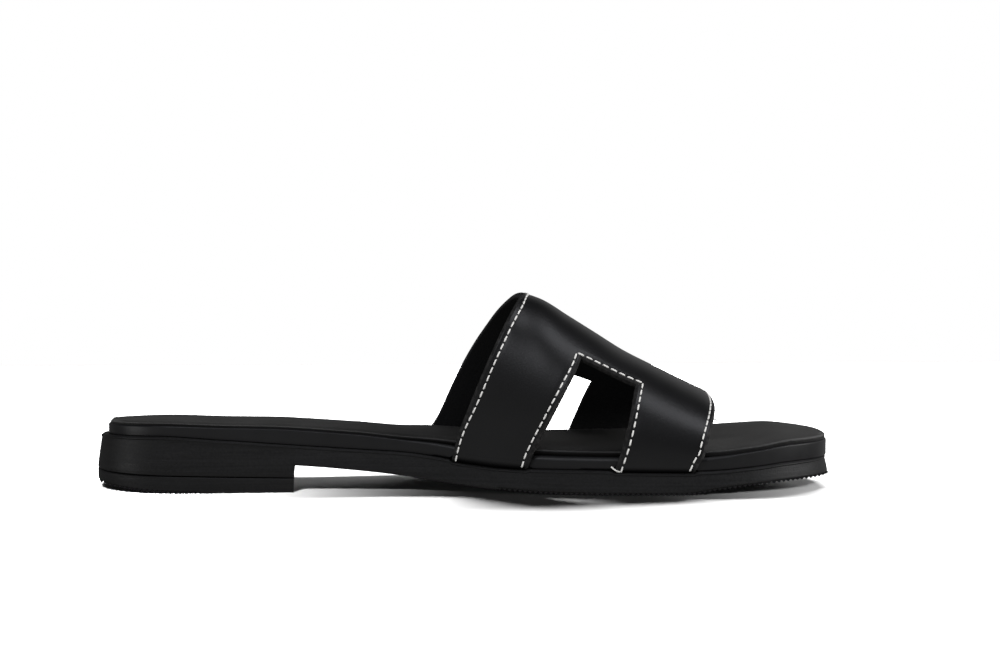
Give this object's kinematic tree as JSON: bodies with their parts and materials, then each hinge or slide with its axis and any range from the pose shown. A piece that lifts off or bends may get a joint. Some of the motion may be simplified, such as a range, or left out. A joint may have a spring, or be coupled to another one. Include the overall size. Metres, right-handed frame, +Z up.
{
  "type": "slide sandal",
  "caption": "Flat leather slide sandal for a left foot: a wide one-piece strap with a window in each side, a rolled platform and a low-heeled rubber sole.",
  "frame": {"origin": "on the floor, under the middle of the heel's flat top lift", "axes": "+X runs from heel to toe, +Y to the outer (little toe) side of the left shoe, +Z up from the floor"},
  "size_m": [0.2566, 0.0855, 0.0677],
  "materials": {
    "sole_rubber": "moulded black rubber with a fine matt mottle on its side",
    "wrap_leather": "smooth black leather wrapped round the platform, satin",
    "insole_leather": "black lining leather over a thin pad, matt, fine grain",
    "strap_leather": "smooth box calf, black, half gloss, off-white topstitching and raw grey cut edges"
  },
  "bodies": {
    "root": {"top_lift": "sole_rubber", "outsole": "sole_rubber", "midsole": "wrap_leather", "insole": "insole_leather", "upper": "strap_leather"}
  },
  "joints": []
}
